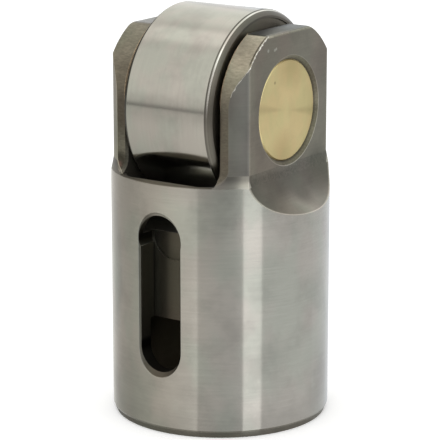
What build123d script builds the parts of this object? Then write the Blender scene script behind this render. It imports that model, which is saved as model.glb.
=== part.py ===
from build123d import *
import math
import os

# Roller tappet of a large pushrod engine, in millimetres with +Z up. The body's
# axis is Z and its open foot stands on Z = 0. The roller turns about X, so the
# cam runs over it along Y, and the guide slot faces -Y.

# Guided body
body_diameter = 35.0
foot_chamfer_height = 1.2
foot_chamfer_depth = 0.5

# Open foot bore and the solid web above it
foot_bore_diameter = 29.4
foot_bore_depth = 17.5
foot_bore_chamfer = 0.5
web_thickness = 14.1

# Cupped seat in the web's underside
seat_ball_radius = 9.0
seat_depth = 5.0
seat_chamfer = 0.6

# Roller
roller_diameter = 30.7
roller_width = 16.5
roller_edge_radius = 0.9
roller_face_recess = 0.3
roller_rim_width = 1.3
roller_hub_diameter = 22.0
roller_bore_chamfer = 0.5

# Pin, pressed into both ears, with the roller running on it
pin_diameter = 16.0
pin_interference = 0.01
pin_recess = 0.45
pin_end_chamfer = 0.2
pin_hole_chamfer = 0.65
roller_pin_clearance = 0.04

# Roller pocket
roller_side_clearance = 0.35
roller_floor_clearance = 3.45
pocket_end_wall = 1.8
pocket_corner_radius = 3.0

# Ears
ears_across_flats = 25.8
ear_setback = 1.55
ear_depth = 26.8
ear_top_rise = 12.5
ear_foot_radius = 2.6
ear_cheek_radius = 8.0
ear_inner_chamfer = 0.4
ear_top_edge_radius = 0.6
flat_runout_radius = 8.0
flat_runout_rise = 1.7

# Shoulder below the ears and the relieved head
shoulder_drop = 10.1
land_setback = 0.2
head_taper_height = 2.1
head_relief = 0.45

# Guide slot, milled down from a drilled start hole through the foot bore's wall
# and on into the web, past the line of that wall
slot_width = 7.45
slot_web_cut = 1.7
slot_foot_height = 9.85
slot_chamfer = 0.78
start_hole_diameter = 8.0
start_hole_extra_depth = 0.3
start_hole_chamfer = 0.6
start_hole_drop = 0.45

# Cutting tools run this far past the surface they open
tool_overrun = 2.0

# Levels and radii that follow from the sizes above
body_radius = body_diameter / 2
roller_radius = roller_diameter / 2
pin_radius = pin_diameter / 2
pocket_floor = foot_bore_depth + web_thickness
pin_height = pocket_floor + roller_floor_clearance + roller_radius
ear_top = pin_height + ear_top_rise
ear_profile_radius = roller_radius - ear_setback
shoulder_height = pin_height - shoulder_drop
land_top = shoulder_height - land_setback
flat_bottom = shoulder_height + flat_runout_rise
flat_half = ears_across_flats / 2
pocket_half_width = roller_width / 2 + roller_side_clearance
pocket_length = body_diameter - 2 * pocket_end_wall
head_radius = body_radius - head_relief
start_hole_height = pocket_floor - start_hole_drop
slot_floor = foot_bore_diameter / 2 - slot_web_cut
start_hole_floor = slot_floor - start_hole_extra_depth


def along_x(shape, x, z):
    """Turn a shape made about Z to lie along +X, at the given x and height."""
    return Pos(x, 0, z) * Rot(0, 90, 0) * shape


def turned_blank():
    """Outside of the body, as it comes off the lathe."""
    profile = Polyline(
        (0, 0),
        (body_radius - foot_chamfer_depth, 0),
        (body_radius, foot_chamfer_height),
        (body_radius, land_top),
        (head_radius, land_top + head_taper_height),
        (head_radius, ear_top),
        (0, ear_top),
        close=True,
    )
    return revolve(Plane.XZ * make_face(profile), Axis.Z)


def foot_bore():
    """Open bore of the foot with the cupped seat at its end."""
    bore_radius = foot_bore_diameter / 2
    profile = Polyline(
        (0, -tool_overrun),
        (bore_radius + foot_bore_chamfer + tool_overrun, -tool_overrun),
        (bore_radius, foot_bore_chamfer),
        (bore_radius, foot_bore_depth),
        (0, foot_bore_depth),
        close=True,
    )
    bore = revolve(Plane.XZ * make_face(profile), Axis.Z)
    ball_height = foot_bore_depth + seat_depth - seat_ball_radius
    ball = Pos(0, 0, ball_height) * Sphere(seat_ball_radius)
    mouth = math.sqrt(seat_ball_radius**2 - (seat_ball_radius - seat_depth) ** 2)
    rim = Pos(0, 0, foot_bore_depth) * Cone(
        mouth + seat_chamfer, mouth, seat_chamfer, align=(Align.CENTER, Align.CENTER, Align.MIN)
    )
    above_bore = Pos(0, 0, foot_bore_depth) * Cylinder(
        bore_radius, seat_depth + tool_overrun, align=(Align.CENTER, Align.CENTER, Align.MIN)
    )
    return bore + rim + (ball & above_bore)


def front_corners(outline, low, high):
    """Corners on the front and back faces of the ears between two heights."""
    return [
        corner
        for corner in outline.vertices()
        if abs(abs(corner.X) - ear_depth / 2) < 0.01 and low < corner.Y < high
    ]


def ear_outline():
    """Side view of the body: round-topped ears standing on the shoulder."""
    below = 2 * body_radius
    reach = 2 * (body_radius + tool_overrun)
    base = Pos(0, shoulder_height) * Rectangle(reach, below, align=(Align.CENTER, Align.MAX))
    ear_height = ear_top - shoulder_height + tool_overrun
    ear = Pos(0, ear_top) * Rectangle(ear_depth, ear_height, align=(Align.CENTER, Align.MAX))
    crown = Pos(0, pin_height) * Circle(ear_profile_radius)
    crown += Pos(0, pin_height) * Rectangle(2 * ear_profile_radius, below, align=(Align.CENTER, Align.MAX))
    outline = base + (ear & crown)
    outline = fillet(front_corners(outline, pin_height, ear_top), ear_cheek_radius)
    return fillet(front_corners(outline, 0, pin_height), ear_foot_radius)


def flat_cut(side):
    """Material milled off one outer face of the head, with its round run-out."""
    reach = body_radius + tool_overrun - flat_half
    rise = ear_top - flat_bottom + tool_overrun
    face = Pos(flat_half, flat_bottom) * Rectangle(reach, rise, align=(Align.MIN, Align.MIN))
    face += Pos(flat_half + flat_runout_radius, flat_bottom) * Circle(flat_runout_radius)
    tool = extrude(Plane.XZ * face, body_radius + tool_overrun, both=True)
    return tool if side > 0 else mirror(tool, Plane.YZ)


def sawn_head():
    """Envelope of base and ears, with the channel between the ears left open."""
    reach = 2 * (body_radius + tool_overrun)
    base_height = shoulder_height + tool_overrun
    base = Box(reach, reach, base_height, align=(Align.CENTER, Align.CENTER, Align.MAX))
    base = Pos(0, 0, shoulder_height) * base
    ear = extrude(Plane.YZ.offset(pocket_half_width) * ear_outline(), body_radius + tool_overrun)
    inner_face = ear.faces().sort_by(Axis.X)[0]
    inner = [edge for edge in inner_face.edges() if edge.center().Z > shoulder_height + 0.01]
    ear = chamfer(inner, ear_inner_chamfer)
    return base + ear + mirror(ear, Plane.YZ)


def roller_pocket():
    """Pocket below the shoulder that clears the roller."""
    plan = RectangleRounded(2 * pocket_half_width, pocket_length, pocket_corner_radius)
    return Pos(0, 0, pocket_floor) * extrude(plan, shoulder_height - pocket_floor + tool_overrun)


def pin_holes():
    """Pin hole through both ears, countersunk at the outer flats."""
    hole_radius = pin_radius - pin_interference
    hole = along_x(Cylinder(hole_radius, ears_across_flats + tool_overrun), 0, pin_height)
    sink_depth = pin_hole_chamfer + pin_interference
    flare = Cone(
        hole_radius, hole_radius + sink_depth, sink_depth, align=(Align.CENTER, Align.CENTER, Align.MAX)
    )
    sink = along_x(flare, flat_half, pin_height)
    return hole + sink + mirror(sink, Plane.YZ)


def guide_slot():
    """Slot with round ends through the front wall, stopping in the web."""
    low = slot_foot_height + slot_width / 2
    run = start_hole_height - low
    middle = low + run / 2
    surface = body_radius
    slot = Pos(0, middle) * Rot(0, 0, 90) * SlotCenterToCenter(run, slot_width)
    milled = extrude(Plane.XZ.offset(slot_floor) * slot, surface - slot_floor + tool_overrun)
    flared = extrude(
        Plane.XZ.offset(surface - slot_chamfer) * slot,
        slot_chamfer + tool_overrun,
        taper=-45,
    )
    hole_radius = start_hole_diameter / 2
    hole = Pos(0, start_hole_height) * Circle(hole_radius)
    drill_travel = surface - start_hole_floor + tool_overrun
    drilled = extrude(Plane.XZ.offset(start_hole_floor) * hole, drill_travel)
    sunk = extrude(
        Plane.XZ.offset(surface - start_hole_chamfer) * hole,
        start_hole_chamfer + tool_overrun,
        taper=-45,
    )
    return milled + flared + drilled + sunk


def tappet_body():
    """Body in one piece: guided land, foot bore, web, ears and slot."""
    body = turned_blank() - foot_bore()
    body &= sawn_head()
    body -= flat_cut(1)
    body -= flat_cut(-1)
    body -= roller_pocket()
    top_edges = [
        edge
        for edge in body.edges()
        if abs(edge.center().Z - ear_top) < 0.01 and abs(abs(edge.center().X) - flat_half) < 0.01
    ]
    body = fillet(top_edges, ear_top_edge_radius)
    return body - pin_holes() - guide_slot()


def roller_pin():
    """Solid pin, slightly below the flats at both ends."""
    length = ears_across_flats - 2 * pin_recess
    pin = Cylinder(pin_radius, length)
    pin = chamfer(pin.edges().filter_by(GeomType.CIRCLE), pin_end_chamfer)
    return along_x(pin, 0, pin_height)


def roller():
    """Roller turned on the pin without a bush, its faces recessed between rim and hub."""
    bore_radius = pin_radius + roller_pin_clearance
    half = roller_width / 2
    rim_inside = roller_radius - roller_rim_width
    hub_radius = roller_hub_diameter / 2
    # Each round outer edge is cut as two bevels, within 0.07 mm of the round
    break_point = roller_edge_radius * (1 - math.sqrt(0.5))
    upper = [
        (bore_radius, half - roller_bore_chamfer),
        (bore_radius + roller_bore_chamfer, half),
        (hub_radius, half),
        (hub_radius, half - roller_face_recess),
        (rim_inside, half - roller_face_recess),
        (rim_inside, half),
        (roller_radius - roller_edge_radius, half),
        (roller_radius - break_point, half - break_point),
        (roller_radius, half - roller_edge_radius),
    ]
    lower = [(radius, -height) for radius, height in reversed(upper)]
    ring = revolve(Plane.XZ * make_face(Polyline(*upper, *lower, close=True)), Axis.Z)
    return along_x(ring, 0, pin_height)


os.makedirs("parts", exist_ok=True)
for name, solid in (
    ("tappet_body", tappet_body()),
    ("roller_pin", roller_pin()),
    ("roller", roller()),
):
    export_step(solid, f"parts/{name}.step")
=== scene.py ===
import math
import random

import bmesh
import bpy
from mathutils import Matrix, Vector


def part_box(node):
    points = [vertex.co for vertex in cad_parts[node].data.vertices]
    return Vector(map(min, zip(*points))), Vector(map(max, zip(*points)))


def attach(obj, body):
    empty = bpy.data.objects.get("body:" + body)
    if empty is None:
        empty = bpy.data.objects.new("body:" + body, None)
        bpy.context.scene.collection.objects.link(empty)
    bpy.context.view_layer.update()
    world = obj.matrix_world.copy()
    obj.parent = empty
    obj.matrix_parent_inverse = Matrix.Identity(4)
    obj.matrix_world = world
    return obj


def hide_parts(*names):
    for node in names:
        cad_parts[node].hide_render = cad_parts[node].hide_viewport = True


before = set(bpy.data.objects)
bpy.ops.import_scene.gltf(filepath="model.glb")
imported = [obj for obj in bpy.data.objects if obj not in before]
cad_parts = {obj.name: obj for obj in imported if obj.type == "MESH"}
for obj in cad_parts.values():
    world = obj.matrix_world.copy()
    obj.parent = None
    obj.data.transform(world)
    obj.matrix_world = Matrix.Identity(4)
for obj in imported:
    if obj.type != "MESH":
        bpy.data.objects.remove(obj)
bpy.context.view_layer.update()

MM = 0.001

# Levels and radii of the tappet, read from the frame's own pieces, in millimetres
body_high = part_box("tappet_body")[1]
roller_low, roller_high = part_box("roller")
pin_low, pin_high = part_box("roller_pin")
LAND_RADIUS = body_high[0] / MM
EAR_TOP = body_high[2] / MM
PIN_HEIGHT = (pin_low[2] + pin_high[2]) / 2 / MM
PIN_RADIUS = (pin_high[2] - pin_low[2]) / 2 / MM
PIN_END = pin_high[0] / MM
ROLLER_RADIUS = (roller_high[2] - roller_low[2]) / 2 / MM
ROLLER_HALF_WIDTH = roller_high[0] / MM

# Places on the solids where one finish meets another, in millimetres
FOOT_CHAMFER_TOP = 1.2
FOOT_BORE_RADIUS = 14.7
FOOT_BORE_TOP = 17.5
POCKET_HALF_WIDTH = 8.6
POCKET_HALF_LENGTH = 15.7
POCKET_FLOOR = 31.6
LAND_TOP = 40.1
FLAT_BOTTOM = 42.0
FLAT_HALF = 12.9
HEAD_RADIUS = 17.05
CROWN_RADIUS = 13.8
RUNOUT_RADIUS = 8.0
EAR_CORNER = 11.15
SINK_RADIUS = PIN_RADIUS + 0.65
SLOT_HALF_WIDTH = 3.725
SLOT_FLOOR = 13.0
SLOT_CHAMFER_DEPTH = 0.78
SLOT_LOW = 9.6
SLOT_HIGH = 35.9
SLOT_MIDDLE = 22.5
SLOT_EDGE_REACH = 13.9

# The roller's edges: a flat running face, then an arc that meets it at an angle
ROLLER_FACE_HALF = 7.3
ROLLER_ARC_START = 22.0
ROLLER_ARC_END = 68.0
ROLLER_ARC_PARTS = 8
ROLLER_SIDES = 192
ROLLER_RIM_WIDTH = 1.3
ROLLER_FACE_RECESS = 0.3
ROLLER_RECESS_LEAN = 0.05
ROLLER_HUB_RADIUS = 11.0
ROLLER_BORE_CHAMFER = 0.5
ROLLER_PIN_CLEARANCE = 0.04

# The burr, in millimetres: where it starts and how far it runs towards the front,
# how wide and how ragged it is, and the round cheek that it follows at its end
BURR_START = -6.1
BURR_LENGTH = 7.1
BURR_PARTS = 40
BURR_SIDES = 6
BURR_WIDTH = 0.13
BURR_LEAST_WIDTH = 0.05
BURR_WIDTHS = (-0.06, 0.17)
BURR_ASIDE_X = (-0.04, 0.05)
BURR_ASIDE_Y = (-0.08, 0.08)
BURR_ASIDE_Z = (-0.08, 0.08)
BURR_FULL_PARTS = 22
BURR_THIN_SHARE = 0.7
BURR_CHEEK_START = -12.85
BURR_CHEEK_MIDDLE = (-5.4, 52.52)
BURR_CHEEK_RADIUS = 8.0

# Plain colours of the steel body
GROUND_STEEL = (0.385, 0.37, 0.325)
# Painted light: the left ear's top, lighter than the right's
EAR_TOP_LEFT = (0.33, 0.32, 0.29)
CROWN_RIGHT = (0.49, 0.45, 0.345)
FLAT_FRONT_EDGE = (0.25, 0.226, 0.178)
SLOT_EDGE_FOOT = (0.178, 0.16, 0.125)
LEDGE = (0.15, 0.138, 0.11)
# Painted shade: the deep start hole at the top of the slot
START_HOLE = (0.06, 0.055, 0.04)
# Painted light: the web's right side, where light comes in through the slot
WEB_RIGHT = (0.158, 0.14, 0.108)
# Painted shade: the slot's lower end, near black
SLOT_END = (0.012, 0.011, 0.009)
FOOT_BORE = (0.19, 0.165, 0.115)
# Painted shade: the roller pocket, near black
POCKET = (0.045, 0.041, 0.033)
# Foot chamfer: partly its own dark finish, partly painted shade of the floor next to it
FOOT_CHAMFER = (0.163, 0.155, 0.129)
FOOT_BORE_CHAMFER = (0.1, 0.09, 0.07)
# Painted shadow: the dark line beside the burr
BURR_SHADOW = (0.07, 0.065, 0.05)
# Edges with wear and painted highlights
EDGE_WEAR_AND_HIGHLIGHT = (0.55, 0.51, 0.43)
INNER_EDGE_WEAR_AND_HIGHLIGHT = (0.6, 0.48, 0.33)
NICK = (0.5, 0.48, 0.42)
# Painted reflection: tint of the greyer upright spot low on the land
LENS_REFLECTION_TINT = (0.84, 0.87, 0.88)
BURR_STEEL = (0.72, 0.69, 0.6)
BURR_STEEL_LOW = (0.42, 0.4, 0.34)

# Colours that change over the body: where the change starts and ends, and the
# colour before and after it
# Painted shade: the right ear's top darker towards its inner edge
EAR_TOP_OUTWARD = (2.3, 3.4, (0.04, 0.04, 0.034), (0.165, 0.163, 0.138))
STRIP_UP = (50.0, 56.0, (0.235, 0.215, 0.17), (0.33, 0.305, 0.235))
# Painted light and shade: the left barrel painted bright, the right one darker towards its flat
LEFT_BARREL_UP = (43.5, 46.5, (0.62, 0.58, 0.47), (0.6, 0.57, 0.48))
RIGHT_BARREL_ACROSS = (10.4, 13.1, (0.265, 0.25, 0.215), (0.15, 0.143, 0.127))
FLAT_ALONG = (-8.0, 10.0, (0.225, 0.2, 0.158), (0.262, 0.238, 0.192))
RUNOUT_ALONG = (-6.0, 2.0, (0.162, 0.148, 0.116), (0.262, 0.242, 0.2))
TAPER_ACROSS = (11.2, 12.4, (0.23, 0.215, 0.186), (0.3, 0.281, 0.237))
# Painted light and shade: the slot's chamfer dark on its left, lit on its right
SLOT_EDGE_ACROSS = (-2.5, 0.0, (0.173, 0.164, 0.137), (0.36, 0.345, 0.3))
# Painted shadow: the countersink darker next to the pin
SINK_OUTWARD = (PIN_RADIUS + 0.05, PIN_RADIUS + 0.4, (0.12, 0.105, 0.075), (0.225, 0.203, 0.145))
# Painted shade: the slot's walls darker low down
SLOT_WALL_UP = (15.0, 27.0, (0.21, 0.193, 0.16), (0.37, 0.345, 0.285))
# Painted shade: the web darkest a little left of its middle
WEB_ACROSS = (-3.3, -2.2, (0.14, 0.133, 0.116), (0.105, 0.094, 0.076))

# The same for painted light and shade: how much lighter or darker a finish is painted by where
# light falls
RUNOUT_SHADE_DOWN = (38.6, 35.6, 0.87, 1.6)
RUNOUT_SHADE_ALONG = (0.0, 5.0, 1.0, 0.77)
TAPER_SHADE_DOWN = (41.7, 40.3, 0.68, 1.35)
WEB_SHADE_UP = (27.0, 30.0, 1.0, 1.3)
FOOT_SHADE_DOWN = (5.5, 1.3, 1.0, 0.86)

# How rough each finish is, from 0 for a mirror to 1 for chalk
GROUND_ROUGHNESS = 0.18
MILLED_ROUGHNESS = 0.5
INSIDE_ROUGHNESS = 0.75
TAPER_ROUGHNESS = 0.34
ROLLER_FACE_ROUGHNESS = 0.15
ROLLER_EDGE_ROUGHNESS = 0.36
ROLLER_LINE_ROUGHNESS = 0.2
PIN_ROUGHNESS = 0.33

# How close tool marks lie along X, Y and Z; the small numbers run along the marks
GRINDING_STRETCH = (0.16, 0.16, 3.5)
MILLING_STRETCH = (1.2, 3.2, 3.2)
ROLLER_GRINDING_STRETCH = (3.0, 0.1, 0.1)
MOTTLE_SCALE = 1.7
PIN_RING_SCALE = 3.2
BURR_MARK_SCALE = 3.0

# Darker spots on the head, partly stains and on the run-outs partly painted shade, as place in
# millimetres, radius, colour and strength
HEAD_SPOTS_AND_SHADE = (
    ((-9.4, -13.4, 50.0), 6.0, (0.115, 0.098, 0.075), 0.85),
    ((-9.5, -13.4, 56.0), 4.0, (0.16, 0.14, 0.10), 0.5),
    ((-10.0, -13.6, 42.0), 2.4, (0.055, 0.048, 0.036), 0.85),
    ((-10.0, -13.6, 41.3), 1.0, (0.3, 0.19, 0.16), 0.7),
    ((9.4, -13.4, 47.0), 7.0, (0.175, 0.15, 0.115), 0.6),
    ((12.9, 0.5, 40.8), 4.6, (0.15, 0.14, 0.115), 0.8),
    # Painted shade that evens out a glow in the middle of the right run-out
    ((14.5, 1.6, 37.6), 3.6, (0.185, 0.173, 0.14), 0.9),
    ((12.9, 8.5, 39.6), 5.0, (0.14, 0.133, 0.104), 0.9),
    ((12.9, 6.5, 36.0), 4.0, (0.18, 0.169, 0.135), 0.8),
    ((12.9, -8.0, 37.8), 5.0, (0.198, 0.18, 0.144), 0.8),
)

# Small bright nicks in the right ear's flat, as place in millimetres and radius
NICKS = (
    ((12.9, -6.05, 60.6), 0.35),
    ((12.9, -4.2, 60.45), 0.3),
    ((12.9, -3.8, 60.6), 0.3),
)

# Places on the ground land that are darker, or lighter where the strength is below
# zero, as place in millimetres, radius and strength
LAND_SPOTS = (
    ((9.3, -14.8, 36.5), 6.5, 0.12),
    ((4.0, -17.0, 35.5), 7.0, -0.15),
    ((8.8, -15.1, 22.0), 7.0, -0.08),
    ((13.4, -11.2, 34.0), 7.0, -0.1),
    ((-5.5, -16.6, 6.0), 9.0, 0.16),
    ((16.5, 5.5, 8.0), 10.0, 0.14),
    ((-11.0, -13.6, 34.0), 5.0, 0.1),
    ((15.5, -8.0, 12.0), 5.0, 0.05),
    ((-12.0, -12.7, 4.0), 6.0, 0.26),
)

# Painted reflection, a greyer upright spot low on the land: its middle, with heights drawn
# together
LENS_REFLECTION = (-12.4, -12.4, 10.4)
LENS_REFLECTION_STRETCH = (1.0, 1.0, 0.42)

# Colours of the roller
ROLLER_STEEL = (0.412, 0.4, 0.36)
# Painted shade: the roller's left edge, dark
ROLLER_LEFT_EDGE_SHADE = (0.05, 0.045, 0.035)
ROLLER_EDGE_OUTWARD = (7.75, 8.15, (0.14, 0.129, 0.102), (0.122, 0.112, 0.09))
ROLLER_EDGE_LINE = (0.15, 0.14, 0.118)
# Painted highlight along the roller's right edge
ROLLER_EDGE_HIGHLIGHT = (0.7, 0.66, 0.58)
# Painted shade: the roller's sides, dark
ROLLER_SIDE_SHADE = (0.17, 0.155, 0.12)
# Painted light: the running face lighter towards the right
ROLLER_SHADE_ACROSS = (-2.0, 7.0, 0.98, 1.07)

# Colours of the pin's ends, how far their marks are turned, and a small dark dot
BRONZE = (0.54, 0.45, 0.24)
BRONZE_FACE = (0.64, 0.52, 0.257)
# Painted reflection: the fan of the turned face's bow-tie gloss
BRONZE_FAN_REFLECTION = (0.55, 0.42, 0.197)
# Painted highlight on one side of the pin's bevel
BRONZE_BEVEL_HIGHLIGHT = (0.95, 0.8, 0.45)
BRONZE_DOT = (0.2, 0.15, 0.07)
PIN_MARK_TILT = math.radians(9.4)
PIN_DOT = (PIN_END, -3.43, 55.2)


def new_material(name, colour, metallic, roughness):
    """A material with its shader's constant finish set on the shader's own sockets."""
    material = bpy.data.materials.new(name)
    material.use_nodes = True
    shader = material.node_tree.nodes["Principled BSDF"]
    shader.inputs["Base Color"].default_value = (*colour, 1.0)
    shader.inputs["Metallic"].default_value = metallic
    shader.inputs["Roughness"].default_value = roughness
    return material, shader


class Nodes:
    """Short ways to add and wire nodes in one tree."""

    def __init__(self, tree):
        self.tree = tree

    def add(self, kind, **settings):
        node = self.tree.nodes.new(kind)
        for name, value in settings.items():
            setattr(node, name, value)
        return node

    def wire(self, source, target):
        self.tree.links.new(source, target)

    def feed(self, socket, value):
        if isinstance(value, bpy.types.NodeSocket):
            self.wire(value, socket)
        else:
            socket.default_value = value

    def math(self, operation, first, second=0.0, clamp=False):
        node = self.add("ShaderNodeMath", operation=operation, use_clamp=clamp)
        self.feed(node.inputs[0], first)
        self.feed(node.inputs[1], second)
        return node.outputs[0]

    def step(self, value, low, high):
        """0 below low, 1 above high, smooth between; low may be the larger."""
        node = self.add("ShaderNodeMapRange", interpolation_type="SMOOTHSTEP")
        self.feed(node.inputs["Value"], value)
        if low <= high:
            node.inputs["From Min"].default_value = low
            node.inputs["From Max"].default_value = high
            return node.outputs["Result"]
        node.inputs["From Min"].default_value = high
        node.inputs["From Max"].default_value = low
        node.inputs["To Min"].default_value = 1.0
        node.inputs["To Max"].default_value = 0.0
        return node.outputs["Result"]

    def near(self, value, target, reach, fade):
        """1 where value lies within reach of target, fading out over fade."""
        off = self.math("ABSOLUTE", self.math("SUBTRACT", value, target))
        return self.step(off, reach + fade, reach)

    def span(self, value, low, high, fade):
        """1 between low and high, fading out over fade at both ends."""
        return self.all_of(self.step(value, low - fade, low), self.step(value, high + fade, high))

    def within(self, value, limit):
        """1 up to limit, ending just past it."""
        return self.step(value, limit + 0.06, limit + 0.02)

    def all_of(self, *masks):
        result = masks[0]
        for mask in masks[1:]:
            result = self.math("MULTIPLY", result, mask)
        return result

    def any_of(self, *masks):
        result = masks[0]
        for mask in masks[1:]:
            result = self.math("MAXIMUM", result, mask)
        return result

    def none_of(self, mask):
        return self.math("SUBTRACT", 1.0, mask)

    def blend(self, factor, first, second):
        """Colour or number that goes from first to second as factor goes from 0 to 1."""
        if self.is_number(first) and self.is_number(second):
            node = self.add("ShaderNodeMix", data_type="FLOAT")
            first_socket, second_socket, result = 2, 3, 0
        else:
            node = self.add("ShaderNodeMix", data_type="RGBA")
            first_socket, second_socket, result = 6, 7, 2
        self.feed(node.inputs[0], factor)
        for index, value in ((first_socket, first), (second_socket, second)):
            if isinstance(value, tuple):
                value = (*value, 1.0)
            self.feed(node.inputs[index], value)
        return node.outputs[result]

    @staticmethod
    def is_number(value):
        return isinstance(value, float) or getattr(value, "type", "") == "VALUE"

    def graded(self, value, start, end, first, second):
        """Colour or number that goes from first to second as value goes from start to end."""
        return self.blend(self.step(value, start, end), first, second)

    def tinted(self, colour, tint):
        """Colour times tint."""
        node = self.add("ShaderNodeVectorMath", operation="MULTIPLY")
        self.feed(node.inputs[0], colour)
        self.feed(node.inputs[1], tint)
        return node.outputs[0]

    def shaded(self, colour, shade):
        """Colour times one number."""
        node = self.add("ShaderNodeVectorMath", operation="SCALE")
        self.feed(node.inputs[0], colour)
        self.feed(node.inputs["Scale"], shade)
        return node.outputs[0]

    def lightened(self, colour, mask, share):
        """Colour made lighter by a share of itself where mask is 1."""
        return self.shaded(colour, self.math("ADD", 1.0, self.math("MULTIPLY", mask, share)))

    def millimetres(self):
        """Object coordinates as a vector in millimetres."""
        place = self.add("ShaderNodeTexCoord")
        return self.shaded(place.outputs["Object"], 1 / MM)

    def split(self, vector):
        node = self.add("ShaderNodeSeparateXYZ")
        self.wire(vector, node.inputs[0])
        return node.outputs

    def join(self, x, y, z):
        node = self.add("ShaderNodeCombineXYZ")
        for socket, value in zip(node.inputs, (x, y, z)):
            self.feed(socket, value)
        return node.outputs[0]

    def length(self, first, second):
        squares = [self.math("MULTIPLY", value, value) for value in (first, second)]
        return self.math("SQRT", self.math("ADD", *squares))

    def far_from(self, vector, point):
        """Distance of the place from one point."""
        node = self.add("ShaderNodeVectorMath", operation="DISTANCE")
        self.wire(vector, node.inputs[0])
        node.inputs[1].default_value = point
        return node.outputs["Value"]

    def noise(self, vector, scale, detail=3.0, roughness=0.5):
        node = self.add("ShaderNodeTexNoise")
        self.feed(node.inputs["Vector"], vector)
        self.feed(node.inputs["Scale"], scale)
        node.inputs["Detail"].default_value = detail
        node.inputs["Roughness"].default_value = roughness
        return node.outputs["Fac"]

    def place_group(self, tree, **values):
        """A shared effect, with its own values here."""
        node = self.add("ShaderNodeGroup", node_tree=tree)
        for name, value in values.items():
            self.feed(node.inputs[name.capitalize()], value)
        return node.outputs


def new_group(name, inputs, outputs):
    """An empty shared effect with its named sockets."""
    tree = bpy.data.node_groups.new(name, "ShaderNodeTree")
    for socket_name, kind in inputs.items():
        tree.interface.new_socket(name=socket_name, in_out="INPUT", socket_type=kind)
    for socket_name, kind in outputs.items():
        tree.interface.new_socket(name=socket_name, in_out="OUTPUT", socket_type=kind)
    given = tree.nodes.new("NodeGroupInput").outputs
    wanted = tree.nodes.new("NodeGroupOutput").inputs
    return tree, Nodes(tree), given, wanted


def handling_stains():
    """Soft blotches of dried oil and handling, warm in some places and cool in others."""
    tree, nodes, given, wanted = new_group(
        "handling_stains",
        {"Place": "NodeSocketVector", "Size": "NodeSocketFloat", "Depth": "NodeSocketFloat"},
        {"Tint": "NodeSocketColor", "Mask": "NodeSocketFloat"},
    )
    scale = nodes.math("DIVIDE", 1.0, given["Size"])
    blotch = nodes.step(nodes.noise(given["Place"], scale, 4.0, 0.6), 0.42, 0.7)
    hue = nodes.noise(nodes.tinted(given["Place"], (1.3, 1.1, 0.8)), scale, 2.0)
    warm = nodes.graded(hue, 0.38, 0.62, (0.97, 1.0, 0.96), (1.03, 0.995, 0.975))
    dark = nodes.math("SUBTRACT", 1.0, nodes.math("MULTIPLY", blotch, given["Depth"]))
    nodes.wire(nodes.shaded(warm, dark), wanted["Tint"])
    nodes.wire(blotch, wanted["Mask"])
    return tree


def tool_marks():
    """Fine marks left by a cutter or a stone; the place comes stretched along them."""
    tree, nodes, given, wanted = new_group(
        "tool_marks",
        {"Place": "NodeSocketVector", "Depth": "NodeSocketFloat"},
        {"Shade": "NodeSocketFloat", "Height": "NodeSocketFloat"},
    )
    lines = nodes.noise(given["Place"], 1.0, 4.0, 0.7)
    centred = nodes.math("SUBTRACT", lines, 0.5)
    shade = nodes.math("ADD", 1.0, nodes.math("MULTIPLY", centred, given["Depth"]))
    nodes.wire(shade, wanted["Shade"])
    nodes.wire(lines, wanted["Height"])
    return tree


STAINS = handling_stains()
MARKS = tool_marks()


def marked_tangent(nodes, shader, axis):
    """Marks that run round an axis draw the gloss out across them."""
    tangent = nodes.add("ShaderNodeTangent", direction_type="RADIAL", axis=axis)
    nodes.wire(tangent.outputs[0], shader.inputs["Tangent"])
    shader.inputs["Anisotropic Rotation"].default_value = 0.25


def roughened(nodes, shader, height, strength, distance):
    """Fine relief from a height, strength and distance as the bump node takes them."""
    bump = nodes.add("ShaderNodeBump")
    bump.inputs["Strength"].default_value = strength
    bump.inputs["Distance"].default_value = distance
    nodes.wire(height, bump.inputs["Height"])
    nodes.wire(bump.outputs["Normal"], shader.inputs["Normal"])


def dress(node_name, material):
    """Give a carried-over solid its finish."""
    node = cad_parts[node_name]
    for slot in node.material_slots:
        slot.material = material


class BodyPlace:
    """Coordinates on the body in millimetres, and distances taken from them."""

    def __init__(self, nodes):
        self.point = nodes.millimetres()
        self.x, self.y, self.z = nodes.split(self.point)
        self.across = nodes.math("ABSOLUTE", self.x)
        self.along = nodes.math("ABSOLUTE", self.y)
        self.radius = nodes.length(self.x, self.y)
        self.above_pin = nodes.math("SUBTRACT", self.z, PIN_HEIGHT)
        self.from_pin = nodes.length(self.y, self.above_pin)


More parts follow.
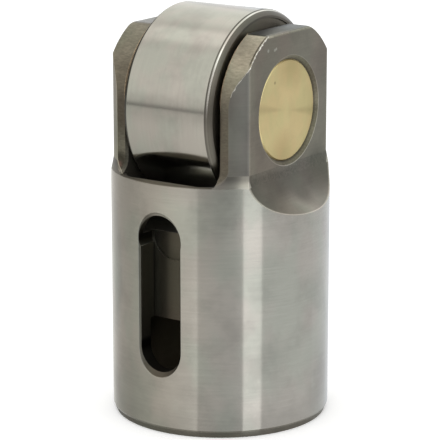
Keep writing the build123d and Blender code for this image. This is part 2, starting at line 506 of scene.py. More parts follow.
class BodyZones:
    """Where each finish of the body lies: 1 on it and 0 elsewhere."""

    def __init__(self, nodes, at):
        self.foot = nodes.step(at.z, FOOT_CHAMFER_TOP + 0.03, FOOT_CHAMFER_TOP - 0.03)
        self.ground = nodes.step(at.radius, LAND_RADIUS - 0.16, LAND_RADIUS - 0.08)
        self.head = nodes.step(at.z, LAND_TOP, LAND_TOP + 0.05)
        self.below_head = nodes.none_of(self.head)
        self.find_ears(nodes, at)
        self.find_pocket(nodes, at)
        self.find_slot(nodes, at)
        self.find_inside(nodes, at)

    def find_ears(self, nodes, at):
        """Taper, barrels, flats with their run-outs, and countersinks."""
        past_barrel = nodes.step(at.radius, HEAD_RADIUS + 0.02, HEAD_RADIUS + 0.06)
        self.taper = nodes.all_of(self.head, past_barrel)
        self.barrel = nodes.all_of(self.head, nodes.near(at.radius, HEAD_RADIUS, 0.03, 0.03))
        self.flat = nodes.all_of(
            nodes.near(at.across, FLAT_HALF, 0.02, 0.02),
            nodes.step(at.z, FLAT_BOTTOM - 0.1, FLAT_BOTTOM + 0.1),
        )
        from_axis = nodes.length(
            nodes.math("SUBTRACT", at.across, FLAT_HALF + RUNOUT_RADIUS),
            nodes.math("SUBTRACT", at.z, FLAT_BOTTOM),
        )
        self.runout = nodes.all_of(
            nodes.near(from_axis, RUNOUT_RADIUS, 0.04, 0.02),
            nodes.step(at.z, FLAT_BOTTOM + 0.1, FLAT_BOTTOM - 0.1),
        )
        self.countersink = nodes.all_of(
            nodes.step(at.from_pin, SINK_RADIUS + 0.04, SINK_RADIUS),
            nodes.step(at.across, FLAT_HALF - 0.9, FLAT_HALF - 0.8),
        )

    def find_pocket(self, nodes, at):
        """Roller pocket, and the thin ledge of the shoulder at its ends."""
        between_ears = nodes.within(at.across, POCKET_HALF_WIDTH)
        self.pocket = nodes.all_of(
            between_ears,
            nodes.within(at.along, POCKET_HALF_LENGTH),
            nodes.step(at.radius, HEAD_RADIUS, HEAD_RADIUS - 0.1),
            nodes.step(at.z, POCKET_FLOOR - 0.1, POCKET_FLOOR - 0.02),
        )
        self.ledge = nodes.all_of(
            between_ears,
            nodes.step(at.along, POCKET_HALF_LENGTH - 0.8, POCKET_HALF_LENGTH - 0.7),
            nodes.step(at.z, LAND_TOP - 0.05, LAND_TOP + 0.15),
        )

    def find_slot(self, nodes, at):
        """Walls of the guide slot, and the chamfer that leads into it."""
        front = nodes.step(at.y, 0.0, -1.0)
        chamfer_foot = SLOT_CHAMFER_DEPTH - LAND_RADIUS
        self.slot_wall = nodes.all_of(
            nodes.step(at.across, SLOT_HALF_WIDTH + 0.35, SLOT_HALF_WIDTH + 0.3),
            nodes.step(at.y, chamfer_foot - 0.04, chamfer_foot + 0.02),
            nodes.step(at.y, 0.7 - SLOT_FLOOR, 0.5 - SLOT_FLOOR),
            nodes.span(at.z, SLOT_LOW, SLOT_HIGH, 0.1),
            front,
        )
        self.slot_edge = nodes.all_of(
            self.below_head,
            nodes.step(at.across, SLOT_HALF_WIDTH + 0.9, SLOT_HALF_WIDTH + 0.85),
            nodes.near(at.z, SLOT_MIDDLE, SLOT_EDGE_REACH, 0.1),
            nodes.step(at.radius, LAND_RADIUS - 0.04, LAND_RADIUS - 0.08),
            front,
        )

    def find_inside(self, nodes, at):
        """What shows through the slot: the web, the slot's lower end and the bore."""
        self.web = nodes.all_of(
            self.slot_wall,
            nodes.near(at.y, -SLOT_FLOOR, 0.32, 0.02),
            nodes.step(at.z, FOOT_BORE_TOP - 0.5, FOOT_BORE_TOP - 0.3),
        )
        self.slot_end = nodes.all_of(self.slot_wall, nodes.step(at.z, 15.0, 14.0))
        self.foot_bore = nodes.all_of(
            nodes.within(at.radius, FOOT_BORE_RADIUS),
            nodes.step(at.z, POCKET_FLOOR - 0.4, POCKET_FLOOR - 0.6),
            nodes.none_of(self.slot_wall),
        )


def ear_colour(nodes, at, zone):
    """The ears' tops and edge strips, barrels, flats and run-outs, with painted light and shade on
    the tops, barrels and run-outs.
    """
    outward = nodes.math(
        "ADD", nodes.math("DIVIDE", at.across, 3.5), nodes.math("DIVIDE", at.y, 8.0)
    )
    # Painted shade and light on the ears' tops: the right one darker inward, the left one lighter
    top = nodes.graded(outward, *EAR_TOP_OUTWARD)
    top = nodes.graded(at.x, 0.0, -1.0, top, EAR_TOP_LEFT)
    crown = nodes.all_of(
        nodes.step(at.x, 8.0, 9.0),
        nodes.step(at.z, 54.0, 59.0),
        nodes.step(at.y, -4.0, -5.0),
    )
    colour = nodes.blend(crown, nodes.graded(at.z, *STRIP_UP), CROWN_RIGHT)
    colour = nodes.graded(at.z, EAR_TOP - 0.2, EAR_TOP - 0.05, colour, top)
    # Painted light and shade on the barrels: bright on the left ear, darker on the right
    left_barrel = nodes.graded(at.z, *LEFT_BARREL_UP)
    right_barrel = nodes.graded(at.x, *RIGHT_BARREL_ACROSS)
    barrel = nodes.graded(at.x, -1.0, 1.0, left_barrel, right_barrel)
    colour = nodes.blend(zone.barrel, colour, barrel)
    flat = nodes.graded(at.y, *FLAT_ALONG)
    flat = nodes.graded(at.y, -9.0, -10.5, flat, FLAT_FRONT_EDGE)
    colour = nodes.blend(zone.flat, colour, flat)
    # Painted shade on the run-outs: lighter lower down, darker towards the back
    shade = nodes.math(
        "MULTIPLY", nodes.graded(at.z, *RUNOUT_SHADE_DOWN), nodes.graded(at.y, *RUNOUT_SHADE_ALONG)
    )
    return nodes.blend(zone.runout, colour, nodes.shaded(nodes.graded(at.y, *RUNOUT_ALONG), shade))


def head_spots_shade_and_light(nodes, at, zone, colour):
    """Spots on the head; painted light where each run-out starts and low on the front of each
    flat.
    """
    for centre, reach, spot_colour, strength in HEAD_SPOTS_AND_SHADE:
        spot = nodes.step(nodes.far_from(at.point, centre), reach, reach * 0.25)
        on_flat = centre[0] >= FLAT_HALF
        spared = zone.barrel if on_flat else nodes.any_of(zone.barrel, zone.flat)
        spot = nodes.all_of(spot, nodes.none_of(spared), strength)
        colour = nodes.blend(spot, colour, spot_colour)
    # Painted light: each run-out lighter where it starts, each flat lighter low on its front
    runout_top_light = nodes.all_of(zone.runout, nodes.step(at.z, 40.8, 41.9), nodes.step(at.y, 4.0, 1.0))
    colour = nodes.lightened(colour, runout_top_light, 0.3)
    low = nodes.all_of(zone.flat, nodes.step(at.z, 46.5, 43.5), nodes.step(at.y, -2.0, -6.0))
    return nodes.lightened(colour, low, 0.1)


def body_colour(nodes, at, zone):
    """Colour of each finish, each laid over those before it."""
    colour = head_spots_shade_and_light(nodes, at, zone, ear_colour(nodes, at, zone))
    # Painted shade on the taper: darker towards its top
    taper = nodes.shaded(nodes.graded(at.x, *TAPER_ACROSS), nodes.graded(at.z, *TAPER_SHADE_DOWN))
    colour = nodes.blend(zone.taper, colour, taper)
    land = nodes.blend(zone.runout, GROUND_STEEL, colour)
    colour = nodes.blend(zone.below_head, colour, land)
    # Painted light and shade on the slot's chamfer, dark on the left and lit on the right
    slot_edge = nodes.graded(at.x, *SLOT_EDGE_ACROSS)
    slot_edge = nodes.graded(at.z, 12.0, 10.4, slot_edge, SLOT_EDGE_FOOT)
    colour = nodes.blend(zone.slot_edge, colour, slot_edge)
    # Painted shadow in the countersink next to the pin
    colour = nodes.blend(zone.countersink, colour, nodes.graded(at.from_pin, *SINK_OUTWARD))
    colour = nodes.blend(zone.ledge, colour, LEDGE)
    # Painted shade and light inside the slot and pocket: walls darker low down, start hole, slot
    # end and pocket near black, web lighter on its right and top
    wall = nodes.graded(at.z, *SLOT_WALL_UP)
    wall = nodes.graded(at.z, 29.6, 29.9, wall, START_HOLE)
    colour = nodes.blend(zone.slot_wall, colour, wall)
    web = nodes.graded(at.x, *WEB_ACROSS)
    web = nodes.graded(at.x, -1.8, -0.6, web, WEB_RIGHT)
    colour = nodes.blend(zone.web, colour, nodes.shaded(web, nodes.graded(at.z, *WEB_SHADE_UP)))
    colour = nodes.blend(zone.slot_end, colour, SLOT_END)
    colour = nodes.blend(zone.foot_bore, colour, FOOT_BORE)
    colour = nodes.blend(zone.pocket, colour, POCKET)
    # Foot chamfer colour, partly painted shade of the floor next to it
    foot = nodes.blend(zone.foot_bore, FOOT_CHAMFER, FOOT_BORE_CHAMFER)
    return nodes.blend(zone.foot, colour, foot)


def edge_wear_and_painted_light(nodes, at, zone, colour):
    """A painted shadow beside the burr, edges with wear and painted highlights, and nicks."""
    # Painted shadow beside the burr
    burr_shadow = nodes.all_of(
        nodes.near(at.x, FLAT_HALF - 0.3, 0.08, 0.1),
        nodes.near(at.from_pin, CROWN_RADIUS, 0.05, 0.03),
        nodes.step(at.z, 58.5, 59.5),
        0.8,
    )
    colour = nodes.blend(burr_shadow, colour, BURR_SHADOW)
    from_corner = nodes.length(
        nodes.math("SUBTRACT", at.across, FLAT_HALF),
        nodes.math("SUBTRACT", at.along, EAR_CORNER),
    )
    ear_corner = nodes.all_of(
        nodes.step(from_corner, 0.5, 0.08), nodes.step(at.z, FLAT_BOTTOM, FLAT_BOTTOM + 0.3), 0.16
    )
    # Painted highlight: the countersink's edge brighter towards the lower right
    lower_right = nodes.step(nodes.math("SUBTRACT", at.y, at.above_pin), 0.0, 9.0)
    sink_edge = nodes.all_of(
        nodes.near(at.from_pin, SINK_RADIUS + 0.04, 0.03, 0.07),
        nodes.step(at.across, FLAT_HALF - 0.1, FLAT_HALF - 0.05),
        nodes.math("ADD", 0.25, nodes.math("MULTIPLY", lower_right, 0.6)),
    )
    runout_edge = nodes.all_of(nodes.near(at.radius, LAND_RADIUS, 0.2, 0.05), zone.runout, 0.5)
    # Painted highlight along the ears' top edges
    top_edge = nodes.all_of(
        nodes.step(at.z, EAR_TOP - 0.32, EAR_TOP - 0.18),
        nodes.step(at.across, FLAT_HALF - 0.65, FLAT_HALF - 0.5),
        0.3,
    )
    wear_and_highlight = nodes.any_of(ear_corner, sink_edge, runout_edge, top_edge)
    colour = nodes.blend(wear_and_highlight, colour, EDGE_WEAR_AND_HIGHLIGHT)
    inner_edge = nodes.all_of(
        nodes.span(at.across, POCKET_HALF_WIDTH + 0.02, POCKET_HALF_WIDTH + 0.44, 0.03),
        nodes.span(at.z, 53.0, 62.5, 1.5),
        nodes.step(at.y, -4.0, -6.0),
    )
    colour = nodes.blend(inner_edge, colour, INNER_EDGE_WEAR_AND_HIGHLIGHT)
    for centre, reach in NICKS:
        nick = nodes.step(nodes.far_from(at.point, centre), reach, reach * 0.5)
        colour = nodes.blend(nodes.all_of(nick, 0.6), colour, NICK)
    return colour


def land_spots_shade_and_reflection(nodes, at, zone, colour):
    """Darker and lighter spots on the ground land, painted shade near the foot, and a painted
    reflection.
    """
    for centre, reach, strength in LAND_SPOTS:
        spot = nodes.step(nodes.far_from(at.point, centre), reach, reach * 0.2)
        spot = nodes.all_of(spot, zone.below_head, strength)
        colour = nodes.shaded(colour, nodes.none_of(spot))
    # Painted shade: the land darker just above the foot chamfer
    near_foot = nodes.graded(at.z, *FOOT_SHADE_DOWN)
    colour = nodes.shaded(colour, nodes.blend(zone.foot, near_foot, 1.0))
    # Painted reflection: a greyer upright spot low on the left of the land
    from_lens_reflection = nodes.far_from(nodes.tinted(at.point, LENS_REFLECTION_STRETCH), LENS_REFLECTION)
    lens_reflection = nodes.all_of(nodes.step(from_lens_reflection, 5.8, 4.0), zone.below_head, zone.ground)
    return nodes.blend(lens_reflection, colour, nodes.tinted(colour, LENS_REFLECTION_TINT))


def body_finish():
    """Ground land, dull milled head and an inside painted dark as shade, told apart by place."""
    material, shader = new_material("body_steel", GROUND_STEEL, 1.0, 0.28)
    nodes = Nodes(material.node_tree)
    at = BodyPlace(nodes)
    zone = BodyZones(nodes, at)
    colour = body_colour(nodes, at, zone)
    colour = edge_wear_and_painted_light(nodes, at, zone, colour)
    colour = land_spots_shade_and_reflection(nodes, at, zone, colour)

    stains = nodes.place_group(STAINS, place=at.point, size=8.0, depth=0.14)
    ground_place = nodes.tinted(at.point, GRINDING_STRETCH)
    milled_place = nodes.tinted(at.point, MILLING_STRETCH)
    mottle_place = nodes.shaded(at.point, MOTTLE_SCALE)
    grinding = nodes.place_group(MARKS, place=ground_place, depth=0.22)
    milling = nodes.place_group(MARKS, place=milled_place, depth=1.1)
    mottle = nodes.place_group(MARKS, place=mottle_place, depth=0.2)
    colour = nodes.tinted(colour, stains["Tint"])
    mottled = nodes.any_of(zone.flat, zone.runout)
    colour = nodes.shaded(colour, nodes.blend(mottled, 1.0, mottle["Shade"]))
    milled = nodes.all_of(
        zone.head, nodes.none_of(nodes.any_of(zone.flat, zone.barrel, zone.taper))
    )
    colour = nodes.shaded(colour, nodes.blend(milled, grinding["Shade"], milling["Shade"]))
    nodes.wire(colour, shader.inputs["Base Color"])

    inside = nodes.any_of(zone.pocket, zone.slot_wall)
    rough = nodes.blend(zone.ground, MILLED_ROUGHNESS, GROUND_ROUGHNESS)
    rough = nodes.blend(inside, rough, INSIDE_ROUGHNESS)
    rough = nodes.blend(zone.taper, rough, TAPER_ROUGHNESS)
    rough = nodes.math("ADD", rough, nodes.math("MULTIPLY", stains["Mask"], 0.02))
    nodes.wire(rough, shader.inputs["Roughness"])
    # The pocket, painted near black as shade, is not metal
    nodes.wire(nodes.none_of(zone.pocket), shader.inputs["Metallic"])
    fine = nodes.math("MULTIPLY", grinding["Height"], 0.3)
    roughened(nodes, shader, nodes.blend(milled, fine, milling["Height"]), 0.25, 0.00003)
    shader.inputs["Anisotropic"].default_value = 1.0
    marked_tangent(nodes, shader, "Z")
    return material


def roller_finish():
    """Polished running face with fine marks round it, dull edges, painted shade on the sides and
    left edge, painted light towards the right and a painted highlight on the right edge.
    """
    material, shader = new_material("roller_steel", ROLLER_STEEL, 1.0, 0.17)
    nodes = Nodes(material.node_tree)
    place = nodes.millimetres()
    x, y, z = nodes.split(place)
    across = nodes.math("ABSOLUTE", x)
    radius = nodes.length(y, nodes.math("SUBTRACT", z, PIN_HEIGHT))
    edge = nodes.step(across, ROLLER_FACE_HALF - 0.03, ROLLER_FACE_HALF + 0.03)
    edge_line = nodes.near(across, ROLLER_FACE_HALF + 0.09, 0.04, 0.06)
    # Painted highlight along the right edge, fading out towards the pin's height
    edge_highlight = nodes.all_of(
        nodes.near(x, ROLLER_FACE_HALF + 0.33, 0.07, 0.07),
        nodes.graded(z, PIN_HEIGHT, PIN_HEIGHT + 4.0, 0.1, 1.0),
    )
    # Painted shade on the roller's sides
    side = nodes.all_of(
        nodes.step(radius, ROLLER_RADIUS - 1.25, ROLLER_RADIUS - 1.4),
        nodes.step(across, 7.0, 7.5),
    )
    stains = nodes.place_group(STAINS, place=place, size=6.0, depth=0.12)
    ground_place = nodes.tinted(place, ROLLER_GRINDING_STRETCH)
    marks = nodes.place_group(MARKS, place=ground_place, depth=0.16)
    # Painted light: the running face lighter towards the right
    face_colour = nodes.shaded(ROLLER_STEEL, nodes.graded(x, *ROLLER_SHADE_ACROSS))
    dull = nodes.graded(across, *ROLLER_EDGE_OUTWARD)
    # Painted shade: the left edge dark
    edge_colour = nodes.graded(x, -1.0, 1.0, ROLLER_LEFT_EDGE_SHADE, dull)
    colour = nodes.blend(edge, face_colour, edge_colour)
    colour = nodes.blend(edge_line, colour, ROLLER_EDGE_LINE)
    colour = nodes.blend(edge_highlight, colour, ROLLER_EDGE_HIGHLIGHT)
    colour = nodes.blend(side, colour, ROLLER_SIDE_SHADE)
    colour = nodes.shaded(nodes.tinted(colour, stains["Tint"]), marks["Shade"])
    nodes.wire(colour, shader.inputs["Base Color"])
    rough = nodes.blend(edge, ROLLER_FACE_ROUGHNESS, ROLLER_EDGE_ROUGHNESS)
    rough = nodes.blend(edge_highlight, rough, ROLLER_LINE_ROUGHNESS)
    rough = nodes.math("ADD", rough, nodes.math("MULTIPLY", stains["Mask"], 0.03))
    nodes.wire(rough, shader.inputs["Roughness"])
    shader.inputs["Anisotropic"].default_value = 0.7
    marked_tangent(nodes, shader, "X")
    return material


def pin_finish():
    """Turned end of a bronze pin: rings round the middle, a few rubbed places, a painted bow-tie
    reflection and a painted highlight on its bevel.
    """
    material, shader = new_material("pin_bronze", BRONZE, 1.0, 0.35)
    nodes = Nodes(material.node_tree)
    place = nodes.millimetres()
    y, z = nodes.split(place)[1:]
    up = nodes.math("SUBTRACT", z, PIN_HEIGHT)
    radius = nodes.length(y, up)
    ring_place = nodes.join(nodes.math("MULTIPLY", radius, PIN_RING_SCALE), 0.0, 0.0)
    rings = nodes.place_group(MARKS, place=ring_place, depth=0.1)
    stains = nodes.place_group(STAINS, place=place, size=4.0, depth=0.06)

    # How far a place is turned from a nearly level line, and from an upright fan
    lean, rise = math.sin(PIN_MARK_TILT), math.cos(PIN_MARK_TILT)
    off_line = nodes.math(
        "ADD", nodes.math("MULTIPLY", up, rise), nodes.math("MULTIPLY", y, lean)
    )
    off_fan = nodes.math(
        "SUBTRACT", nodes.math("MULTIPLY", y, rise), nodes.math("MULTIPLY", up, lean)
    )
    away = nodes.math("ADD", radius, 0.3)
    level = nodes.math("DIVIDE", nodes.math("ABSOLUTE", off_line), away)
    upright = nodes.math("DIVIDE", nodes.math("ABSOLUTE", off_fan), away)
    # Painted reflection: a dark level line and a fan, the bow-tie gloss of a turned face
    line = nodes.all_of(nodes.step(level, 0.16, 0.0), nodes.step(radius, 0.3, 4.5))
    fan = nodes.all_of(nodes.step(upright, 0.75, 0.0), nodes.step(radius, 1.5, 7.0))
    bowtie_reflection = nodes.math("ADD", nodes.math("MULTIPLY", line, 0.16), nodes.math("MULTIPLY", fan, 0.1))

    bronze = nodes.blend(fan, BRONZE_FACE, BRONZE_FAN_REFLECTION)
    colour = nodes.shaded(bronze, nodes.math("SUBTRACT", rings["Shade"], bowtie_reflection))
    colour = nodes.tinted(colour, stains["Tint"])
    bevel = nodes.step(radius, PIN_RADIUS - 0.22, PIN_RADIUS - 0.17)
    # Painted highlight on the bevel's side towards positive y
    bevel_highlight = nodes.all_of(bevel, nodes.step(y, 0.0, 4.0))
    colour = nodes.blend(bevel_highlight, colour, BRONZE_BEVEL_HIGHLIGHT)
    dot = nodes.step(nodes.far_from(place, PIN_DOT), 0.34, 0.12)
    colour = nodes.blend(nodes.all_of(dot, 0.6), colour, BRONZE_DOT)
    nodes.wire(colour, shader.inputs["Base Color"])
    rough = nodes.math("ADD", PIN_ROUGHNESS, nodes.math("MULTIPLY", bowtie_reflection, 0.4))
    nodes.wire(rough, shader.inputs["Roughness"])
    roughened(nodes, shader, rings["Height"], 0.15, 0.00002)
    shader.inputs["Anisotropic"].default_value = 0.7
    marked_tangent(nodes, shader, "X")
    return material


def burr_finish():
    """Bright torn steel, duller low down."""
    material, shader = new_material("burr_steel", BURR_STEEL, 1.0, 0.3)
    nodes = Nodes(material.node_tree)
    place = nodes.millimetres()
    marks = nodes.place_group(MARKS, place=nodes.shaded(place, BURR_MARK_SCALE), depth=1.0)
    z = nodes.split(place)[2]
    torn = nodes.graded(z, 59.0, 57.5, BURR_STEEL, BURR_STEEL_LOW)
    nodes.wire(nodes.shaded(torn, marks["Shade"]), shader.inputs["Base Color"])
    return material


def deselect():
    """Leave nothing selected for the next operator."""
    bpy.ops.object.select_all(action="DESELECT")


def unpicked(mesh_object):
    """The mesh in edit mode, with nothing in it selected."""
    mesh = bmesh.from_edit_mesh(mesh_object.data)
    for part in (mesh.verts, mesh.edges, mesh.faces):
        for item in part:
            item.select = False
    return mesh


def pick_faces(mesh_object, least_corners):
    """Select the faces with at least so many corners: the two ends of a cylinder."""
    mesh = unpicked(mesh_object)
    for face in mesh.faces:
        if len(face.verts) >= least_corners:
            face.select = True
    mesh.select_flush_mode()
    bmesh.update_edit_mesh(mesh_object.data)


def off_pin_axis(point):
    """Distance of a point from the pin's axis."""
    return math.hypot(point.y, point.z - PIN_HEIGHT * MM)


def pick_edges_near_pin(mesh_object, limit):
    """Select the edges that lie wholly closer to the pin's axis than limit."""
    mesh = unpicked(mesh_object)
    for edge in mesh.edges:
        if max(off_pin_axis(corner.co) for corner in edge.verts) < limit:
            edge.select = True
    bmesh.update_edit_mesh(mesh_object.data)


def finished(piece, material, smooth_angle):
    """Close a modelled piece: place in its mesh, faces outward, finish on."""
    bpy.ops.mesh.select_all(action="SELECT")
    bpy.ops.mesh.normals_make_consistent(inside=False)
    bpy.ops.object.mode_set(mode="OBJECT")
    bpy.ops.object.shade_smooth_by_angle(angle=math.radians(smooth_angle))
    piece.data.materials.clear()
    piece.data.materials.append(material)
    piece.select_set(False)


def arc_steps():
    """Insets (inward, outward) that shape the roller's round edge from its running face."""
    start, end = math.radians(ROLLER_ARC_START), math.radians(ROLLER_ARC_END)
    reach = ROLLER_HALF_WIDTH - ROLLER_FACE_HALF
    radius = reach / (math.sin(end) - math.sin(start))
    parts = ROLLER_ARC_PARTS
    angles = [start + (end - start) * part / parts for part in range(parts + 1)]
    steps = []
    for first, second in zip(angles, angles[1:]):
        inward = radius * (math.cos(first) - math.cos(second))
        outward = radius * (math.sin(second) - math.sin(first))
        steps.append((inward, outward))
    return steps


def roller_ring(material):
    """Roller with truly round edges, its faces recessed between rim and hub."""
    deselect()
    bpy.ops.mesh.primitive_cylinder_add(
        vertices=ROLLER_SIDES,
        radius=ROLLER_RADIUS * MM,
        depth=2 * ROLLER_FACE_HALF * MM,
        location=(0, 0, PIN_HEIGHT * MM),
        rotation=(0, math.pi / 2, 0),
    )
    ring = bpy.context.object
    ring.name = "roller_ring"
    bpy.ops.object.transform_apply(location=True, rotation=True, scale=True)
    bpy.ops.object.mode_set(mode="EDIT")
    bpy.ops.mesh.select_mode(type="FACE")
    arc = arc_steps()
    rim_outside = ROLLER_RADIUS - sum(inward for inward, outward in arc)
    rim_inside = ROLLER_RADIUS - ROLLER_RIM_WIDTH
    bore = PIN_RADIUS + ROLLER_PIN_CLEARANCE
    steps = arc + [
        (rim_outside - rim_inside, 0),
        (ROLLER_RECESS_LEAN, -ROLLER_FACE_RECESS),
        (rim_inside - ROLLER_RECESS_LEAN - ROLLER_HUB_RADIUS - ROLLER_RECESS_LEAN, 0),
        (ROLLER_RECESS_LEAN, ROLLER_FACE_RECESS),
        (ROLLER_HUB_RADIUS - bore - ROLLER_BORE_CHAMFER, 0),
        (ROLLER_BORE_CHAMFER, -ROLLER_BORE_CHAMFER),
    ]
    pick_faces(ring, ROLLER_SIDES)
    for inward, outward in steps:
        bpy.ops.mesh.inset(thickness=inward * MM, depth=outward * MM)
    bpy.ops.mesh.delete(type="FACE")
    bpy.ops.mesh.select_mode(type="EDGE")
    pick_edges_near_pin(ring, (bore + 0.05) * MM)
    bpy.ops.mesh.bridge_edge_loops()
    finished(ring, material, 18)
    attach(ring, "roller")
    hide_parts("roller")


def burr_path():
    """Line of the burr, along the right ear's crown where flat and barrel end."""
    cheek_y, cheek_z = BURR_CHEEK_MIDDLE
    path = []
    for part in range(BURR_PARTS + 1):
        y = BURR_START - BURR_LENGTH * part / BURR_PARTS
        x = min(FLAT_HALF, math.sqrt(HEAD_RADIUS**2 - y**2))
        if y > BURR_CHEEK_START:
            z = PIN_HEIGHT + math.sqrt(CROWN_RADIUS**2 - y**2)
        else:
            z = cheek_z + math.sqrt(BURR_CHEEK_RADIUS**2 - (y - cheek_y) ** 2)
        path.append(Vector((x, y, z)))
    return path


def burr(material):
    """Thin ragged ridge of steel that the milling left along one edge."""
    deselect()
    chance = random.Random(11)
    path = burr_path()
    width = BURR_WIDTH
    bpy.ops.mesh.primitive_circle_add(
        vertices=BURR_SIDES,
        radius=width * MM,
        fill_type="NGON",
        location=path[0] * MM,
        rotation=(path[1] - path[0]).to_track_quat("Z", "Y").to_euler(),
    )
    ridge = bpy.context.object
    ridge.name = "milling_burr"
    bpy.ops.object.transform_apply(location=True, rotation=True, scale=True)
    bpy.ops.object.mode_set(mode="EDIT")
    bpy.ops.mesh.select_mode(type="FACE")
    bpy.ops.mesh.select_all(action="SELECT")
    place = path[0]
    for index, point in enumerate(path[1:]):
        share = 1.0 if index < BURR_FULL_PARTS else BURR_THIN_SHARE
        new_width = max(BURR_LEAST_WIDTH, chance.uniform(*BURR_WIDTHS)) * share
        aside_x = chance.uniform(*BURR_ASIDE_X)
        aside_y = chance.uniform(*BURR_ASIDE_Y)
        aside_z = chance.uniform(*BURR_ASIDE_Z)
        target = point + Vector((aside_x, aside_y, aside_z))
        move = (target - place) * MM
        bpy.ops.mesh.extrude_region_move(TRANSFORM_OT_translate={"value": move})
        bpy.ops.transform.resize(value=(new_width / width,) * 3, center_override=target * MM)
        place, width = target, new_width
    finished(ridge, material, 60)
    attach(ridge, "follower")


# What the ground steel mirrors round the part: bearing in degrees, 0 in front of the
# slot, and how bright the tent is there. Two stops close together are a card's edge.
TENT = (
    (-146, 1.0),
    (-134, 1.0),
    (-112, 0.8),
    (-95, 0.68),
    (-78, 0.66),
    (-46, 0.86),
    (-20, 0.96),
    (1, 1.07),
    (8.5, 1.3),
    (9.1, 0.86),
    (34, 0.8),
    (56.5, 0.87),
    (57.1, 1.74),
    (76.6, 1.74),
    (77.2, 1.02),
    (190, 1.0),
    (202, 0.92),
    (214, 0.92),
)
# The same for the floor further out, which only the roller's lower half mirrors
TENT_FAR = (
    (-146, 1.0),
    (-101, 0.7),
    (-78, 0.66),
    (-46, 0.88),
    (-20, 1.0),
    (0, 0.95),
    (10, 0.75),
    (50, 0.75),
    (57, 0.95),
    (214, 0.92),
)
# Floor of the tent: part of the way out, and shade there
TENT_FLOOR = ((0.0, 1.0), (0.15, 1.0), (0.3, 0.85), (1.0, 0.8))
# Wall of the tent: part of the way up, and shade there
TENT_WALL = (
    (0.0, 0.1),
    (0.02, 0.5),
    (0.05, 0.92),
    (0.16, 1.22),
    (0.6, 1.33),
    (0.71, 1.48),
    (0.8, 1.36),
    (1.0, 1.1),
)
TENT_STATIONS = 180
TENT_REACH = 0.8
TENT_HEIGHT = 1.4
TENT_PEAK = 2.0
TENT_TINT_ROUND = (0.28, 0.58, (1.0, 0.99, 0.965), (0.965, 0.995, 1.05))

# Parts of the tent's wall that are darker, or that glow more, as from where to where
# round it and up it, and the shade or glow there
DARK_LOW_LEFT = ((0.05, 0.17, 0.02), (0.4, 0.3), 0.3)
DARK_AHEAD = ((0.42, 0.54, 0.01), (0.68, 0.5), 0.5)
SOFT_CARD = ((0.137, 0.172, 0.052), (0.5, 0.7), 0.64)

# The floor and the even room
FLOOR_RADIUS = 3.0
FLOOR_WHITE = (0.93, 0.93, 0.925)
FLOOR_GLOW_OUTWARD = (LAND_RADIUS - 1.0, LAND_RADIUS, 0.115, 0.33)
ROOM_LIGHT = 0.95

# The photo's viewpoint, in metres, and its bearing in degrees
CAMERA_PLACE = (0.200166, -0.296304, 0.120217)
CAMERA_AIM = (-0.000068, -0.000046, 0.03099)
CAMERA_LENS = 187.45
CAMERA_BEARING = 34.04

# The soft lamp above the part, in metres, degrees and watts
PART_MIDDLE = Vector((0, 0, 0.035))
LAMP_BEARING = -95
LAMP_ELEVATION = 54
LAMP_DISTANCE = 0.7
LAMP_WIDTH = 0.26
LAMP_HEIGHT = 0.22
LAMP_POWER = 0.13


def add_object(name, data):
    """A new object in the scene."""
    made = bpy.data.objects.new(name, data)
    bpy.context.scene.collection.objects.link(made)
    return made


def ramp(nodes, value, stops):
    """Shade along value, from stops of (place, shade), straight between them."""
    node = nodes.add("ShaderNodeFloatCurve")
    nodes.feed(node.inputs["Value"], value)
    curve = node.mapping.curves[0]
    while len(curve.points) < len(stops):
        curve.points.new(0.5, 0.5)
    for point, (place, shade) in zip(curve.points, stops):
        point.location = (place, shade / TENT_PEAK)
        point.handle_type = "VECTOR"
    node.mapping.update()
    return node.outputs[0]


def round_ramp(nodes, round_it, stops):
    """Shade of the tent round the part, from stops of (bearing, shade)."""
    first_bearing = CAMERA_BEARING - 180
    parts = [((bearing - first_bearing) / 360, shade) for bearing, shade in stops]
    return nodes.math("MULTIPLY", ramp(nodes, round_it, parts), TENT_PEAK)


def tent_mesh():
    """Cards of the tent, with two measures: how far round and how far out each place is.

    Each card starts at the foot of the body and runs out the way that the body
    mirrors the camera's line of sight there, so its edges come out upright.
    """
    foot = (LAND_RADIUS + 0.3) * MM
    corners = []
    for station in range(TENT_STATIONS + 1):
        facing = math.radians(CAMERA_BEARING - 90 + 180 * station / TENT_STATIONS)
        mirrored = 2 * facing - math.radians(CAMERA_BEARING)
        near = Vector((foot * math.sin(facing), -foot * math.cos(facing), 0.0003))
        far = near + TENT_REACH * Vector((math.sin(mirrored), -math.cos(mirrored), 0))
        corners += [near, far, far + Vector((0, 0, TENT_HEIGHT))]
    faces = []
    for station in range(TENT_STATIONS):
        for ring in (0, 1):
            first = 3 * station + ring
            faces.append((first, first + 1, first + 4, first + 3))
    mesh = bpy.data.meshes.new("tent")
    mesh.from_pydata(corners, [], faces)
    station_of = mesh.attributes.new("station", "FLOAT", "POINT")
    reach_of = mesh.attributes.new("reach", "FLOAT", "POINT")
    for index, entry in enumerate(station_of.data):
        entry.value = (index // 3) / TENT_STATIONS
        reach_of.data[index].value = min(index % 3, 1)
    return mesh


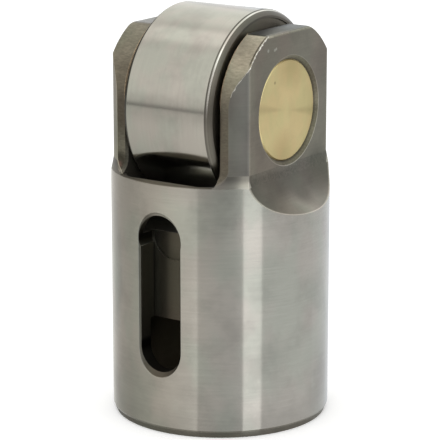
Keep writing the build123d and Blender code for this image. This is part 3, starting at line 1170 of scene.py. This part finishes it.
def tent_cards():
    """Glow of the tent's cards, brighter and darker by where they stand."""
    material = bpy.data.materials.new("tent_cards")
    material.use_nodes = True
    material.node_tree.nodes.clear()
    nodes = Nodes(material.node_tree)
    round_it = nodes.add("ShaderNodeAttribute", attribute_name="station").outputs["Fac"]
    way_out = nodes.add("ShaderNodeAttribute", attribute_name="reach").outputs["Fac"]
    z = nodes.split(nodes.add("ShaderNodeTexCoord").outputs["Object"])[2]
    way_up = nodes.math("DIVIDE", z, TENT_HEIGHT)
    on_wall = nodes.math("GREATER_THAN", z, 0.001)

    floor = ramp(nodes, way_out, TENT_FLOOR)
    wall = ramp(nodes, way_up, TENT_WALL)
    lift = nodes.math("MULTIPLY", nodes.blend(on_wall, floor, wall), TENT_PEAK)
    near_shade = round_ramp(nodes, round_it, TENT)
    far_shade = round_ramp(nodes, round_it, TENT_FAR)
    far_floor = nodes.all_of(nodes.none_of(on_wall), nodes.step(way_out, 0.2, 0.27))
    shade = nodes.blend(far_floor, near_shade, far_shade)
    for part_round, part_up, dark in (DARK_LOW_LEFT, DARK_AHEAD):
        part = nodes.all_of(
            on_wall, nodes.span(round_it, *part_round), nodes.step(way_up, *part_up)
        )
        shade = nodes.blend(part, shade, dark)
    card_round, card_up, card_glow = SOFT_CARD
    soft_card = nodes.all_of(
        on_wall, nodes.span(round_it, *card_round), nodes.step(way_up, *card_up), card_glow
    )

    glow = nodes.add("ShaderNodeEmission")
    nodes.wire(nodes.graded(round_it, *TENT_TINT_ROUND), glow.inputs["Color"])
    strength = nodes.math("ADD", nodes.math("MULTIPLY", shade, lift), soft_card)
    nodes.wire(strength, glow.inputs["Strength"])
    out = nodes.add("ShaderNodeOutputMaterial")
    nodes.wire(glow.outputs[0], out.inputs["Surface"])
    return material


def tent():
    """Light tent of cards, seen only in the part's reflections."""
    walls = add_object("tent", tent_mesh())
    walls.data.materials.append(tent_cards())
    walls.visible_camera = False
    walls.visible_diffuse = False
    walls.visible_shadow = False


def seen_plainly(nodes):
    """1 for what the camera sees straight, by reflection or through glass."""
    paths = nodes.add("ShaderNodeLightPath").outputs
    seen = nodes.math("ADD", paths["Is Camera Ray"], paths["Is Glossy Ray"])
    return nodes.math("ADD", seen, paths["Is Transmission Ray"], clamp=True)


def studio_floor():
    """Pale floor that glows a little, and less inside the open foot."""
    deselect()
    bpy.ops.mesh.primitive_circle_add(vertices=96, radius=FLOOR_RADIUS, fill_type="NGON")
    floor = bpy.context.object
    floor.name = "floor"
    material, shader = new_material("floor_white", FLOOR_WHITE, 0.0, 0.9)
    shader.inputs["Specular IOR Level"].default_value = 0.0
    shader.inputs["Emission Color"].default_value = (1, 1, 1, 1)
    nodes = Nodes(material.node_tree)
    x, y = nodes.split(nodes.millimetres())[:2]
    glow = nodes.graded(nodes.length(x, y), *FLOOR_GLOW_OUTWARD)
    nodes.wire(nodes.all_of(seen_plainly(nodes), glow), shader.inputs["Emission Strength"])
    floor.data.materials.append(material)


def studio_room():
    """Even white room."""
    world = bpy.data.worlds.new("room")
    world.use_nodes = True
    background = world.node_tree.nodes["Background"]
    background.inputs["Color"].default_value = (1.0, 1.0, 1.0, 1)
    nodes = Nodes(world.node_tree)
    nodes.wire(nodes.blend(seen_plainly(nodes), ROOM_LIGHT, 1.0), background.inputs["Strength"])
    bpy.context.scene.world = world


def top_lamp():
    """Soft lamp above and to the left, which steel doesn't mirror."""
    light = bpy.data.lights.new("top_lamp", "AREA")
    light.shape = "RECTANGLE"
    light.size = LAMP_WIDTH
    light.size_y = LAMP_HEIGHT
    light.energy = LAMP_POWER
    lamp = add_object("top_lamp", light)
    bearing, elevation = math.radians(LAMP_BEARING), math.radians(LAMP_ELEVATION)
    level = math.cos(elevation)
    ahead = Vector((math.sin(bearing) * level, -math.cos(bearing) * level, math.sin(elevation)))
    lamp.location = PART_MIDDLE + ahead * LAMP_DISTANCE
    lamp.rotation_euler = (lamp.location - PART_MIDDLE).to_track_quat("Z", "Y").to_euler()
    lamp.visible_glossy = False


def camera():
    """The photo's viewpoint."""
    data = bpy.data.cameras.new("camera")
    data.sensor_width = 36.0
    data.lens = CAMERA_LENS
    data.clip_start = 0.01
    data.clip_end = 20.0
    eye = add_object("camera", data)
    eye.location = CAMERA_PLACE
    eye.rotation_euler = (Vector(CAMERA_AIM) - eye.location).to_track_quat("-Z", "Y").to_euler()
    bpy.context.scene.camera = eye


dress("tappet_body", body_finish())
dress("roller_pin", pin_finish())
roller_steel = roller_finish()
dress("roller", roller_steel)
roller_ring(roller_steel)
burr(burr_finish())
studio_floor()
studio_room()
top_lamp()
tent()
camera()
bpy.context.scene.view_settings.view_transform = "Standard"
